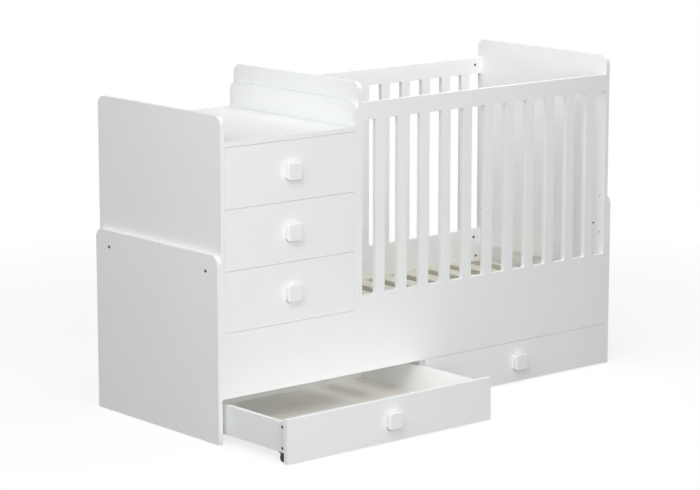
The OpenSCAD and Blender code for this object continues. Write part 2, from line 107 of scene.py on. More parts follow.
# A cylinder along an axis (0 X, 1 Y, 2 Z) from one end to the other
def addRod(name, centre, axis, start, end, radius, steps=32):
    deselectAll()
    place = Vector(centre)
    place[axis] = (start + end) / 2
    turn = [(0, math.pi / 2, 0), (math.pi / 2, 0, 0), (0, 0, 0)][axis]
    bpy.ops.mesh.primitive_cylinder_add(vertices=steps, radius=radius, depth=abs(end - start),
                                        location=place, rotation=turn)
    return named(name)


# Opens edit mode with only the chosen vertices, edges or faces selected
def choose(piece, kind, wanted):
    pick(piece)
    bpy.ops.object.mode_set(mode="EDIT")
    bpy.ops.mesh.select_mode(type=kind)
    bpy.ops.mesh.select_all(action="DESELECT")
    shape = bmesh.from_edit_mesh(piece.data)
    parts = {"VERT": shape.verts, "EDGE": shape.edges, "FACE": shape.faces}[kind]
    for part in parts:
        if wanted(part):
            part.select_set(True)
    bmesh.update_edit_mesh(piece.data)


def closeEdit():
    bpy.ops.object.mode_set(mode="OBJECT")


# Edit steps on what is chosen; the first one also closes edit mode. In the dictionaries below,
# a rounding is its radius with its number of steps.
def roundChosen(width, steps):
    bpy.ops.mesh.bevel(offset=width, segments=steps, affect="EDGES")
    closeEdit()


def extrudeChosen(x, y, z):
    bpy.ops.mesh.extrude_region_move(TRANSFORM_OT_translate={"value": (x, y, z)})


def sliceAll(axis, cuts):
    normal = Vector((0, 0, 0))
    normal[axis] = 1
    for cut in cuts:
        bpy.ops.mesh.select_all(action="SELECT")
        bpy.ops.mesh.bisect(plane_co=normal * cut, plane_no=normal)


def middleOf(edge):
    return (edge.verts[0].co + edge.verts[1].co) / 2


def runsAlong(edge, axis):
    run = edge.verts[1].co - edge.verts[0].co
    return abs(run[axis]) > 0.99 * run.length


def applyModifier(piece, kind, **settings):
    pick(piece)
    bpy.ops.object.modifier_add(type=kind)
    added = piece.modifiers[-1]
    for key, value in settings.items():
        setattr(added, key, value)
    bpy.ops.object.modifier_apply(modifier=added.name)


def softenEdges(piece, width, steps=2, angle=40):
    applyModifier(piece, "BEVEL", width=width, segments=steps, limit_method="ANGLE",
                  angle_limit=math.radians(angle), loop_slide=False)


def joinAll(pieces):
    pick(*pieces)
    if len(pieces) > 1:
        bpy.ops.object.join()
    return bpy.context.object


def remove(*pieces):
    for piece in pieces:
        bpy.data.objects.remove(piece, do_unlink=True)


# Cuts the joined cutters away; the cut faces get the piece's material with this index
def cutAway(piece, cutters, inside=0):
    if not cutters:
        return
    cutter = joinAll(cutters)
    for face in cutter.data.polygons:
        face.material_index = inside
    applyModifier(piece, "BOOLEAN", operation="DIFFERENCE", object=cutter, solver="EXACT")
    remove(cutter)


# A cross slot round the Z axis, cut one arm at a time
def cutCross(piece, long, thin, bottom, top):
    for x, y in ((long, thin), (thin, long)):
        cutAway(piece, [addBlock("slot", (-x, -y, bottom), (x, y, top))])


def copyTo(piece, name, matrix):
    twin = piece.copy()
    twin.data = piece.data.copy()
    twin.data.transform(matrix)
    twin.name = name
    twin.data.name = name
    bpy.context.scene.collection.objects.link(twin)
    return twin


# Turns a pattern's +Z to look along an axis, one way, and sets its origin on a face
def facingMatrix(centre, axis, way, face):
    place = Vector(centre)
    place[axis] = face
    look = Vector((0, 0, 0))
    look[axis] = way
    return Matrix.Translation(place) @ look.to_track_quat("Z", "Y").to_matrix().to_4x4()


# Smooth shading that leaves the broad flat faces flat
def smooth(piece):
    pick(piece)
    bpy.ops.object.shade_smooth_by_angle(angle=math.radians(35))
    applyModifier(piece, "WEIGHTED_NORMAL", keep_sharp=True)


def settle(piece, body, nodes):
    smooth(piece)
    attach(piece, body)
    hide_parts(*nodes)


# Like pieces joined into one
def together(name, pieces, body, nodes):
    piece = joinAll(pieces)
    piece.name = name
    piece.data.name = name
    settle(piece, body, nodes)


# Lowest and highest corner of each separate solid in a CAD node
def solidsOf(node):
    shape = bmesh.new()
    shape.from_mesh(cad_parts[node].data)
    bmesh.ops.remove_doubles(shape, verts=shape.verts, dist=fine)
    waiting = set(shape.verts)
    boxes = []
    while waiting:
        group = [waiting.pop()]
        for vert in group:
            for edge in vert.link_edges:
                other = edge.other_vert(vert)
                if other in waiting:
                    waiting.remove(other)
                    group.append(other)
        low = Vector([min(v.co[axis] for v in group) for axis in range(3)])
        high = Vector([max(v.co[axis] for v in group) for axis in range(3)])
        boxes.append((low, high))
    shape.free()
    return sorted(boxes, key=lambda box: [round(value, 4) for value in box[0]])


def centreOf(box):
    return (box[0] + box[1]) / 2


def grown(box, x, y, z):
    grow = Vector((x, y, z))
    return box[0] - grow, box[1] + grow


def touches(one, other):
    return all(one[0][axis] < other[1][axis] and other[0][axis] < one[1][axis]
               for axis in range(3))


# Materials

def newMaterial(name):
    material = bpy.data.materials.new(name)
    material.use_nodes = True
    tree = material.node_tree
    return material, tree, tree.nodes["Principled BSDF"]


def addNode(tree, kind, inputs, **settings):
    node = tree.nodes.new("ShaderNode" + kind)
    for key, value in settings.items():
        setattr(node, key, value)
    for key, value in inputs.items():
        if isinstance(value, bpy.types.NodeSocket):
            tree.links.new(value, node.inputs[key])
        else:
            node.inputs[key].default_value = value
    return node


# Object coordinates stretched by a size in metres along each axis
def patternPlace(tree, size):
    place = addNode(tree, "TexCoord", {}).outputs["Object"]
    scale = [1 / value for value in size]
    return addNode(tree, "Mapping", {"Vector": place, "Scale": scale}).outputs["Vector"]


def addNoise(tree, size, detail=2, rough=0.5, warp=0.0):
    size = size if isinstance(size, tuple) else (size, size, size)
    place = patternPlace(tree, size)
    return addNode(tree, "TexNoise", {"Vector": place, "Scale": 1, "Detail": detail,
                                      "Roughness": rough, "Distortion": warp}).outputs["Fac"]


# A colour ramp from (place, colour) stops
def blendColours(tree, factor, stops):
    ramp = addNode(tree, "ValToRGB", {"Fac": factor})
    points = ramp.color_ramp.elements
    while len(points) < len(stops):
        points.new(0.5)
    for point, (place, colour) in zip(points, stops):
        point.position = place
        point.color = (*colour, 1)
    return ramp.outputs["Color"]


# A noise's middle range spread from low to high
def spread(tree, factor, low, high, start=0.3, end=0.7):
    return addNode(tree, "MapRange", {"Value": factor, "From Min": start, "From Max": end,
                                      "To Min": low, "To Max": high}).outputs["Result"]


def addBump(tree, shader, height, strength, distance):
    bump = addNode(tree, "Bump", {"Height": height, "Strength": strength, "Distance": distance})
    tree.links.new(bump.outputs["Normal"], shader.inputs["Normal"])


def connect(tree, shader, **sockets):
    for key, value in sockets.items():
        name = {"colour": "Base Color", "rough": "Roughness"}[key]
        tree.links.new(value, shader.inputs[name])


# A surface of two close tones. Its look names up to three noises, each with its size in metres,
# detail, roughness and warp: tone mixes the colours, and gloss and relief each follow one of them.
def makeSurface(name, look):
    material, tree, shader = newMaterial(name)
    noises = {key: addNoise(tree, *look[key]) for key in ("tone", "grain", "wear") if key in look}
    start, end = look["blend"]
    colour = blendColours(tree, noises["tone"], [(start, look["deep"]), (end, look["pale"])])
    rough = spread(tree, noises[look["glossBy"]], *look["gloss"])
    connect(tree, shader, colour=colour, rough=rough)
    addBump(tree, shader, noises[look["reliefBy"]], look["relief"], look["depth"])
    for socket, value in look.get("sockets", {}).items():
        shader.inputs[socket].default_value = value
    return material


laminateLook = {
    "pale": (0.900, 0.911, 0.914), "deep": (0.884, 0.895, 0.898), "blend": (0.34, 0.66),
    "tone": (0.42, 3, 0.5, 0.6), "grain": (0.0011, 2, 0.6), "wear": (0.09, 4, 0.65),
    "gloss": (0.40, 0.50), "glossBy": "wear",
    "relief": 0.10, "depth": 0.06 * mm, "reliefBy": "grain",
    "sockets": {"Specular IOR Level": 0.42},
}
laminate = makeSurface("whiteLaminate", laminateLook)


bandLook = {
    "pale": (0.900, 0.911, 0.914), "deep": (0.882, 0.893, 0.896), "blend": (0.35, 0.65),
    "tone": (0.16, 3), "grain": (0.012, 2),
    "gloss": (0.34, 0.42), "glossBy": "tone",
    "relief": 0.10, "depth": 0.10 * mm, "reliefBy": "grain",
}
edgeBand = makeSurface("edgeBand", bandLook)


chipLook = {
    "dark": (0.30, 0.20, 0.12), "mid": (0.48, 0.36, 0.23), "pale": (0.66, 0.54, 0.38),
    "chip": (0.0016, 0.0016, 0.0008), "rough": 0.9, "relief": 0.6, "depth": 0.2 * mm,
}


def makeChipboard():
    material, tree, shader = newMaterial("bareChipboard")
    look = chipLook
    place = patternPlace(tree, look["chip"])
    chips = addNode(tree, "TexVoronoi", {"Vector": place, "Scale": 1}).outputs["Color"]
    grey = addNode(tree, "SeparateColor", {"Color": chips}).outputs["Red"]
    stops = [(0.1, look["dark"]), (0.5, look["mid"]), (0.9, look["pale"])]
    connect(tree, shader, colour=blendColours(tree, grey, stops))
    shader.inputs["Roughness"].default_value = look["rough"]
    addBump(tree, shader, grey, look["relief"], look["depth"])
    return material


sheetLook = {
    "pale": (0.945, 0.925, 0.872), "deep": (0.925, 0.904, 0.848), "blend": (0.35, 0.65),
    "tone": (0.25, 4, 0.5, 0.4), "grain": (0.0012, 3, 0.7),
    "gloss": (0.50, 0.60), "glossBy": "tone",
    "relief": 0.20, "depth": 0.08 * mm, "reliefBy": "grain",
}
hardboard = makeSurface("whiteHardboard", sheetLook)


lacquerLook = {
    "pale": (0.886, 0.894, 0.897), "deep": (0.870, 0.878, 0.881), "blend": (0.35, 0.65),
    "tone": (0.03, 3), "grain": (0.0022, 1),
    "gloss": (0.44, 0.52), "glossBy": "tone",
    "relief": 0.12, "depth": 0.10 * mm, "reliefBy": "grain",
    "sockets": {"Coat Weight": 0.15, "Coat Roughness": 0.2},
}
lacquer = makeSurface("whiteLacquer", lacquerLook)


woodLook = {
    "pale": (0.680, 0.662, 0.596), "mid": (0.640, 0.618, 0.544), "deep": (0.560, 0.528, 0.436),
    "streak": (0.93, 0.915, 0.885), "white": (1.0, 1.0, 1.0), "gloss": (0.52, 0.68),
    "ring": 0.017, "fibre": 0.0009, "run": 40, "relief": 0.25, "depth": 0.12 * mm,
}


# Planed softwood whose grain runs along an axis
def makeWood(name, axis):
    material, tree, shader = newMaterial(name)
    look = woodLook

    def stretched(size):
        sizes = [size] * 3
        sizes[axis] = size * look["run"]
        return tuple(sizes)

    rings = addNoise(tree, stretched(look["ring"]), detail=3, rough=0.55, warp=1.2)
    fibres = addNoise(tree, stretched(look["fibre"]), detail=3, rough=0.6)
    stops = [(0.30, look["pale"]), (0.50, look["mid"]), (0.58, look["pale"]), (0.74, look["deep"])]
    base = blendColours(tree, rings, stops)
    streak = blendColours(tree, fibres, [(0.35, look["streak"]), (0.62, look["white"])])
    mixed = addNode(tree, "Mix", {"Factor": 1.0, "A": base, "B": streak},
                    data_type="RGBA", blend_type="MULTIPLY")
    connect(tree, shader, colour=mixed.outputs[2], rough=spread(tree, fibres, *look["gloss"]))
    addBump(tree, shader, fibres, look["relief"], look["depth"])
    return material


plasticLook = {
    "blend": (0.35, 0.65), "tone": (0.02, 3),
    "glossBy": "grain", "relief": 0.25, "depth": 0.06 * mm, "reliefBy": "grain",
}


def makePlastic(name, pale, deep, gloss, size):
    own = {"pale": pale, "deep": deep, "gloss": gloss, "grain": (size, 2, 0.6)}
    return makeSurface(name, plasticLook | own)


steelLook = {
    "blend": (0.3, 0.7), "tone": (0.004, 4, 0.65), "wear": ((0.0004, 0.006, 0.006), 2),
    "glossBy": "wear", "relief": 0.2, "depth": 0.05 * mm, "reliefBy": "tone",
    "sockets": {"Metallic": 0.85},
}


def makeSteel(name, pale, deep, gloss):
    return makeSurface(name, steelLook | {"pale": pale, "deep": deep, "gloss": gloss})


chipboard = makeChipboard()
woodAlongX = makeWood("paleWoodAlongX", 0)
woodAlongY = makeWood("paleWoodAlongY", 1)
whitePlastic = makePlastic("whitePlastic", (0.82, 0.82, 0.81), (0.79, 0.79, 0.78),
                           (0.35, 0.5), 0.0009)
greyPlastic = makePlastic("greyPlastic", (0.42, 0.42, 0.43), (0.36, 0.36, 0.37),
                          (0.4, 0.55), 0.0009)
blackPlastic = makePlastic("blackPlastic", (0.020, 0.020, 0.021), (0.013, 0.013, 0.014),
                           (0.32, 0.5), 0.0007)
blackRubber = makePlastic("blackRubber", (0.014, 0.014, 0.015), (0.009, 0.009, 0.010),
                          (0.6, 0.8), 0.0005)
# Zinc for the cams, bolts, screws, nails and axles. Its colour is darker than zinc's own, and that
# extra darkness is painted shade of the recesses round the cam and bolt heads.
zincDarkenedForShade = makeSteel("zincDarkenedForShade", (0.115, 0.115, 0.12), (0.075, 0.075, 0.08), (0.34, 0.52))
brightZinc = makeSteel("brightZinc", (0.66, 0.66, 0.66), (0.54, 0.54, 0.54), (0.22, 0.36))
print("materials made")


# Places of the fasteners, read from the CAD solids

camSize = {"radius": 4.9 * mm, "clear": 0.1 * mm, "open": 1.5 * mm, "pin": 2.5 * mm}
boltBore = 3.7 * mm
caseCams = solidsOf("cam_locks")
rollCams = {}
rollPins = {}
for side in ("left", "right"):
    solids = solidsOf(side + "_roll_fasteners")
    # a cam stands as high as its head is wide, and a pin is much lower
    rollCams[side] = [box for box in solids if box[1].z - box[0].z > 1.8 * camSize["radius"]]
    rollPins[side] = [box for box in solids if box not in rollCams[side]]
bolts = solidsOf("panel_bolts")
screws = solidsOf("base_screws")
strips = solidsOf("runner_strips")
slats = solidsOf("base_slats")


# Axis of a cam and the way that its head looks, +1 or -1
def camFacing(box):
    size = box[1] - box[0]
    axis = max(range(3), key=lambda i: size[i])
    centre = centreOf(box)
    if axis == 1:
        return axis, -1 if centre.y > 0 else 1
    if axis == 2:
        return axis, -1 if centre.z > centreOf(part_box("chest_back")).z else 1
    for name in ("left", "right"):
        if box in rollCams[name]:
            return axis, 1 if centre.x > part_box(name + "_roll_knob")[0].x else -1
    return axis, 1


# Round pockets for the cams in a board, open where the cam's head looks
def camPockets(box, cams):
    cutters = []
    radius = camSize["radius"] + camSize["clear"]
    for cam in cams:
        if touches(cam, box):
            axis, way = camFacing(cam)
            low = cam[0][axis] - (camSize["open"] if way < 0 else 0)
            high = cam[1][axis] + (camSize["open"] if way > 0 else 0)
            cutters.append(addRod("pocket", centreOf(cam), axis, low, high, radius))
    return cutters


def boltHoles(box):
    cutters = []
    for bolt in bolts:
        if touches(bolt, grown(box, -slack, 0, 0)):
            ends = (box[0].x - mm, box[1].x + mm)
            cutters.append(addRod("hole", centreOf(bolt), 0, *ends, boltBore))
    return cutters


# Boards

boardStyle = {"arris": 0.3 * mm, "corner": (30 * mm, 14)}
faceIndex = 0
bandIndex = 1
chipIndex = 2


def makeBoard(name, box, across, rounded=False):
    piece = addBlock(name, *box)
    if rounded:
        top = box[1].z
        choose(piece, "EDGE", lambda e: runsAlong(e, 0) and middleOf(e).z > top - mm)
        roundChosen(*boardStyle["corner"])
    softenEdges(piece, boardStyle["arris"])
    bandEdges(piece, across)
    return piece


# Laminate on the two broad faces, which look along an axis, and edge band round them
def bandEdges(piece, across):
    for material in (laminate, edgeBand, chipboard):
        piece.data.materials.append(material)
    for face in piece.data.polygons:
        broad = abs(face.normal[across]) > straight
        face.material_index = faceIndex if broad else bandIndex


# A board of the frame: banded cuts first, then the bores with bare chipboard inside
def plainBoard(node, across, rounded=False, cuts=(), bores=()):
    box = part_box(node)
    piece = makeBoard(node + "_board", box, across, rounded)
    cutAway(piece, cuts, bandIndex)
    cutAway(piece, [*bores, *camPockets(box, caseCams), *boltHoles(box)], chipIndex)
    settle(piece, "frame", [node])


# Low frame

dividerStep = {"back": 3 * mm}


def buildLowFrame():
    plainBoard("left_low_end", 0, rounded=True)
    plainBoard("right_low_end", 0, rounded=True)
    plainBoard("front_long_panel", 1)
    plainBoard("back_long_panel", 1)
    low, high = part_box("centre_divider")
    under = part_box("front_long_panel")[0].z
    step = addBlock("step", low - Vector((mm, mm, mm)),
                    (high.x + mm, low.y + dividerStep["back"], under))
    plainBoard("centre_divider", 0, cuts=[step])


# Chest

def buildChest():
    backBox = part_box("chest_back")
    for node in ("chest_left_side", "chest_right_side"):
        low, high = grown(backBox, slack, 0, slack)
        rebate = addBlock("rebate", low - Vector((0, 0, mm)), high + Vector((0, mm, 0)))
        plainBoard(node, 0, rounded=True, cuts=[rebate])
    plainBoard("chest_bottom", 2)
    plainBoard("changing_top", 2)
    buildChestBack()


nailShape = {
    "head": 1.6 * mm, "soft": 0.3 * mm, "sunk": 0.2 * mm, "deep": 6 * mm, "steps": 16,
    "dimple": 0.6 * mm, "rim": 0.4 * mm, "in": 4 * mm, "end": 60 * mm, "step": 0.13,
}


# Round nail heads sunk into a face that looks along an axis; gives the nails and their dimples
def makeNails(places, axis):
    shape = nailShape
    nails = []
    dimples = []
    for place in places:
        face = place[axis]
        ends = (face - shape["deep"], face - shape["sunk"])
        nail = addRod("nail", place, axis, *ends, shape["head"], shape["steps"])
        softenEdges(nail, shape["soft"])
        nail.data.materials.append(zincDarkenedForShade)
        nails.append(nail)
        ends = (face - shape["dimple"], face + mm)
        radius = shape["head"] + shape["rim"]
        dimples.append(addRod("dimple", place, axis, *ends, radius, shape["steps"]))
    return nails, dimples


# Evenly spread values from start to end, about a step apart
def rowOf(start, end, step):
    count = max(1, round((end - start) / step))
    return [start + (end - start) * index / count for index in range(count + 1)]


def buildChestBack():
    shape = nailShape
    low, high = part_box("chest_back")
    inset = shape["in"]
    places = []
    for x in (low.x + inset, high.x - inset):
        heights = rowOf(low.z + shape["end"], high.z - shape["end"], shape["step"])
        places.extend((x, high.y, z) for z in heights)
    for z in (low.z + 2 * inset, high.z - 2 * inset):
        along = rowOf(low.x + inset, high.x - inset, shape["step"])
        places.extend((x, high.y, z) for x in along)
    nails, dimples = makeNails([Vector(place) for place in places], 1)
    sheetPiece("chest_back", "frame", dimples)
    together("chest_back_nails_zinc", nails, "frame", [])


# A thin sheet of hardboard with barely broken edges
def sheetPiece(node, body, cuts=()):
    piece = addBlock(node + "_sheet", *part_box(node))
    softenEdges(piece, boardStyle["arris"])
    cutAway(piece, cuts)
    piece.data.materials.append(hardboard)
    settle(piece, body, [node])


# Crib

cribShape = {
    "slats": 11, "slatWidth": 38 * mm, "footHeight": 60 * mm, "railHeight": 57 * mm,
    "slotCorner": (3 * mm, 4), "arris": (0.306 * mm, 3),
}
sleeveShape = {
    "z": (0.472, 0.602), "in": 22 * mm, "hole": 2.5 * mm, "deep": 4 * mm, "steps": 24,
    "wall": 0.7 * mm, "sunk": 0.2 * mm, "slip": 0.05 * mm, "soft": 0.1 * mm, "bore": 0.8,
}


# One bay of a fence is a slat between half slots; the bays are repeated in a row
def buildFence(node):
    low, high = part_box(node)
    shape = cribShape
    count = shape["slats"]
    half = shape["slatWidth"] / 2
    slot = (high.x - low.x - count * shape["slatWidth"]) / (count + 1)
    pitch = slot + shape["slatWidth"]
    start = low.x + slot / 2
    foot = low.z + shape["footHeight"]
    head = high.z - shape["railHeight"]
    piece = addBlock(node + "_board", (start, low.y, low.z), (start + pitch, high.y, foot))
    choose(piece, "FACE", lambda f: True)
    sliceAll(0, (start + slot / 2, start + slot / 2 + shape["slatWidth"]))
    closeEdit()
    centre = start + pitch / 2
    onTop = lambda f: f.normal.z > straight and abs(f.calc_center_median().x - centre) < mm
    choose(piece, "FACE", onTop)
    extrudeChosen(0, 0, head - foot)
    extrudeChosen(0, 0, high.z - head)
    closeEdit()
    for way in (-1, 1):
        choose(piece, "FACE", lambda f: f.normal.x * way > straight
               and f.calc_center_median().z > head)
        extrudeChosen(way * slot / 2, 0, 0)
        closeEdit()
    inSlot = lambda e: (runsAlong(e, 1) and abs(abs(middleOf(e).x - centre) - half) < mm
                        and foot - mm < middleOf(e).z < head + mm)
    choose(piece, "EDGE", inSlot)
    roundChosen(*shape["slotCorner"])
    atEnd = lambda f: abs(abs(f.calc_center_median().x - centre) - pitch / 2) < slack
    choose(piece, "FACE", atEnd)
    bpy.ops.mesh.delete(type="FACE")
    closeEdit()
    applyModifier(piece, "ARRAY", count=count, use_relative_offset=False,
                  use_constant_offset=True, constant_offset_displace=(pitch, 0, 0),
                  use_merge_vertices=True, merge_threshold=slack)
    for end, way in ((start, -1), (start + count * pitch, 1)):
        choose(piece, "VERT", lambda v: abs(v.co.x - end) < slack)
        bpy.ops.transform.translate(value=(way * slot / 2, 0, 0))
        closeEdit()
    # the foot and the rail are each closed at both ends
    middle = (foot + head) / 2
    for end in (low.x, high.x):
        for way in (-1, 1):
            choose(piece, "EDGE", lambda e: e.is_boundary and abs(middleOf(e).x - end) < slack
                   and way * (middleOf(e).z - middle) > 0)
            bpy.ops.mesh.edge_face_add()
            closeEdit()
    choose(piece, "FACE", lambda f: True)
    bpy.ops.mesh.dissolve_limited(angle_limit=math.radians(1))
    bpy.ops.mesh.normals_make_consistent(inside=False)
    closeEdit()
    softenEdges(piece, *shape["arris"])
    bandEdges(piece, 1)
    cutAway(piece, camPockets((low, high), caseCams), chipIndex)
    settle(piece, "frame", [node])


# Level holes in the inner face of a crib end, which looks along X one way
def levelPlaces(face):
    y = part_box("back_fence")[1].y - sleeveShape["in"]
    return [Vector((face, side * y, z)) for side in (-1, 1) for z in sleeveShape["z"]]


def levelHoles(face, way):
    ends = sorted((face + way * mm, face - way * sleeveShape["deep"]))
    return [addRod("hole", place, 0, *ends, sleeveShape["hole"]) for place in levelPlaces(face)]


# A plastic sleeve in a level hole, its mouth at the origin looking up
def makeSleeve():
    shape = sleeveShape
    deep = shape["deep"] - shape["slip"]
    radius = shape["hole"] - shape["slip"]
    piece = addRod("sleeve", (0, 0, 0), 2, -deep, -shape["sunk"], radius, shape["steps"])
    choose(piece, "FACE", lambda f: f.normal.z > straight)
    bpy.ops.mesh.inset(thickness=shape["wall"])
    extrudeChosen(0, 0, -shape["bore"] * deep)
    closeEdit()
    softenEdges(piece, shape["soft"], 1)
    piece.data.materials.append(blackPlastic)
    return piece


def buildCrib():
    sleeve = makeSleeve()
    sleeves = []
    for node, side, way in (("crib_left_end", 1, 1), ("crib_right_end", 0, -1)):
        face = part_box(node)[side].x
        plainBoard(node, 0, rounded=True, bores=levelHoles(face, way))
        for place in levelPlaces(face):
            sleeves.append(copyTo(sleeve, "sleeve", facingMatrix(place, 0, way, face)))
    together("level_sleeves_plastic", sleeves, "frame", [])
    remove(sleeve)
    buildFence("front_fence")
    buildFence("back_fence")


# Mattress base

baseShape = {
    "slatEdge": (2.5 * mm, 4), "railEdge": (1.5 * mm, 4), "slip": 0.1 * mm,
    "nailIn": 6 * mm, "nailOut": 18 * mm,
    "sinkFoot": 2.1 * mm, "sinkMouth": 5.1 * mm, "sinkDeep": 4 * mm,
}


# A plank with rounded long edges
def woodPiece(name, box, material, edge, length, cuts=()):
    piece = addBlock(name, *box)
    choose(piece, "EDGE", lambda e: runsAlong(e, length))
    roundChosen(*edge)
    cutAway(piece, cuts)
    piece.data.materials.append(material)
    return piece


def screwSinks(box):
    shape = baseShape
    cutters = []
    for screw in screws:
        if touches(screw, box):
            way = inwardAcross(screw)[1]
            centre = centreOf(screw)
            face = screw[0].y if way < 0 else screw[1].y
            deselectAll()
            bpy.ops.mesh.primitive_cone_add(vertices=32, radius1=shape["sinkFoot"],
                                            radius2=shape["sinkMouth"], depth=shape["sinkDeep"],
                                            location=(centre.x, face - way * mm, centre.z),
                                            rotation=(-way * math.pi / 2, 0, 0))
            cutters.append(named("sink"))
    return cutters


def buildBase():
    shape = baseShape
    slip = [shape["slip"]] * 3
    rails = []
    for box in solidsOf("base_side_rails"):
        cuts = [addBlock("notch", *grown(slat, *slip)) for slat in slats]
        cuts.extend(screwSinks(box))
        rails.append(woodPiece("rail", box, woodAlongX, shape["railEdge"], 0, cuts))
    together("base_side_rails_wood", rails, "frame", ["base_side_rails"])
    rails = [woodPiece("rail", box, woodAlongY, shape["railEdge"], 1)
             for box in solidsOf("base_end_rails")]
    together("base_end_rails_wood", rails, "frame", ["base_end_rails"])
    woods = []
    nails = []
    for box in slats:
        centre = centreOf(box).x
        places = [Vector((x, y, box[1].z))
                  for y in (box[0].y + shape["nailIn"], box[1].y - shape["nailIn"])
                  for x in (centre - shape["nailOut"], centre + shape["nailOut"])]
        pair, dimples = makeNails(places, 2)
        woods.append(woodPiece("slat", box, woodAlongY, shape["slatEdge"], 1, dimples))
        nails.extend(pair)
    together("base_slats_wood", woods, "frame", ["base_slats"])
    together("base_slats_nails_zinc", nails, "frame", [])


# Knobs: a square plate with soft corners on a narrower neck, made once and copied

knobShape = {
    "plate": 56 * mm, "thick": 11 * mm, "neckIn": 5 * mm, "neck": 13 * mm,
    "corner": (9 * mm, 10), "soft": (4 * mm, 6), "backSoft": (1.2 * mm, 3),
}


def makeKnob():
    shape = knobShape
    half = shape["plate"] / 2
    back = -shape["neck"]
    front = back - shape["thick"]
    piece = addBlock("knob", (-half, front, -half), (half, back, half))
    choose(piece, "EDGE", lambda e: runsAlong(e, 1))
    roundChosen(*shape["corner"])
    choose(piece, "FACE", lambda f: f.normal.y > straight)
    bpy.ops.mesh.inset(thickness=shape["neckIn"])
    extrudeChosen(0, shape["neck"], 0)
    closeEdit()
    choose(piece, "EDGE", lambda e: middleOf(e).y < front + fine)
    roundChosen(*shape["soft"])
    reach = half - shape["corner"][0]
    backRim = lambda e: (abs(middleOf(e).y - back) < fine
                         and max(abs(middleOf(e).x), abs(middleOf(e).z)) > reach)
    choose(piece, "EDGE", lambda e: backRim(e)
           and len({round(f.normal.y) for f in e.link_faces}) > 1)
    roundChosen(*shape["backSoft"])
    piece.data.materials.append(lacquer)
    return piece


knobPattern = makeKnob()


screwHead = {
    "radius": 4 * mm, "high": 2.2 * mm, "soft": (1.2 * mm, 5),
    "slot": 0.45 * mm, "slotLong": 0.6, "board": 16 * mm, "tip": 8 * mm,
}


# The domed head of the screw that holds a knob, on the inner face of the drawer front
def makeKnobScrew():
    shape = screwHead
    piece = addRod("knobScrew", (0, 0, 0), 2, 0, shape["high"], shape["radius"])
    choose(piece, "EDGE", lambda e: middleOf(e).z > shape["high"] - slack)
    roundChosen(*shape["soft"])
    choose(piece, "FACE", lambda f: f.normal.z < -straight)
    bpy.ops.mesh.inset(thickness=shape["radius"] / 2)
    extrudeChosen(0, 0, -shape["board"] - shape["tip"])
    closeEdit()
    long = shape["radius"] * shape["slotLong"]
    cutCross(piece, long, shape["slot"], shape["high"] / 2, 2 * shape["high"])
    piece.data.materials.append(zincDarkenedForShade)
    return piece


knobScrewPattern = makeKnobScrew()


def placeKnob(node, body):
    low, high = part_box(node)
    centre = Vector(((low.x + high.x) / 2, high.y, (low.z + high.z) / 2))
    piece = copyTo(knobPattern, node + "_lacquered", Matrix.Translation(centre))
    settle(piece, body, [node])
    inside = facingMatrix(centre, 1, 1, high.y + screwHead["board"])
    piece = copyTo(knobScrewPattern, node + "_screw_zinc", inside)
    settle(piece, body, [])


# Chest drawers

grooveShape = {"deep": 0.9 * mm, "play": 0.5 * mm}


# The boards of one drawer node, with cuts of their own where cutsFor gives them
def drawerBoards(node, body, across, cutsFor=lambda box: [], inside=bandIndex):
    pieces = []
    for box in solidsOf(node):
        piece = makeBoard("part", box, across)
        cutAway(piece, cutsFor(box), inside)
        pieces.append(piece)
    together(node + "_board", pieces, body, [node])


# Grooves for the runner strips, open at the drawer's back
def grooveCuts(box):
    deep = grooveShape["deep"]
    play = grooveShape["play"]
    cutters = []
    for strip in strips:
        if touches(strip, box):
            low, high = grown(strip, deep, play, play)
            cutters.append(addBlock("groove", low, (high.x, box[1].y + mm, high.z)))
    return cutters


def buildChestDrawers():
    for level in ("top", "middle", "bottom"):
        body = level + "_drawer"
        drawerBoards(body + "_front", body, 1)
        drawerBoards(body + "_sides", body, 0, grooveCuts)
        drawerBoards(body + "_back", body, 1)
        sheetPiece(body + "_bottom", body)
        placeKnob(level + "_knob", body)


# Roll-out drawers

def buildRollDrawers():
    for side in ("left", "right"):
        body = side + "_roll_drawer"
        node = side + "_roll"
        pockets = lambda box: camPockets(box, rollCams[side])
        drawerBoards(node + "_front", body, 1)
        drawerBoards(node + "_sides", body, 0, pockets, chipIndex)
        drawerBoards(node + "_back", body, 1)
        sheetPiece(node + "_bottom", body)
        placeKnob(node + "_knob", body)


# Fasteners

camShape = {
    "long": 11.7 * mm, "rim": 0.7 * mm, "dish": 0.3 * mm, "soft": 0.15 * mm, "steps": 40,
    "slotLong": 6.5 * mm, "slotWide": 1.4 * mm, "slotDeep": 1.8 * mm,
}


# A cam with its head at the origin looking up
def makeCam():
    shape = camShape
    piece = addRod("cam", (0, 0, 0), 2, -shape["long"], 0, camSize["radius"], shape["steps"])
    choose(piece, "FACE", lambda f: f.normal.z > straight)
    bpy.ops.mesh.inset(thickness=shape["rim"])
    extrudeChosen(0, 0, -shape["dish"])
    closeEdit()
    cutCross(piece, shape["slotLong"] / 2, shape["slotWide"] / 2, -shape["slotDeep"], mm)
    softenEdges(piece, shape["soft"], 1)
    piece.data.materials.append(zincDarkenedForShade)
    return piece


# Copies of a pattern, one for each box, with the pattern's head on the face that looks out
def placeHeads(pattern, boxes, facing, out=0.0):
    pieces = []
    for box in boxes:
        axis, way = facing(box)
        face = (box[1][axis] if way > 0 else box[0][axis]) - way * out
        pieces.append(copyTo(pattern, pattern.name, facingMatrix(centreOf(box), axis, way, face)))
    return pieces


boltShape = {
    "head": 5 * mm, "thick": 1.5 * mm, "soft": (0.5 * mm, 3),
    "shaft": 3.5 * mm, "long": 32 * mm, "socket": 2.3 * mm, "socketEnds": (0.5 * mm, 3 * mm),
}


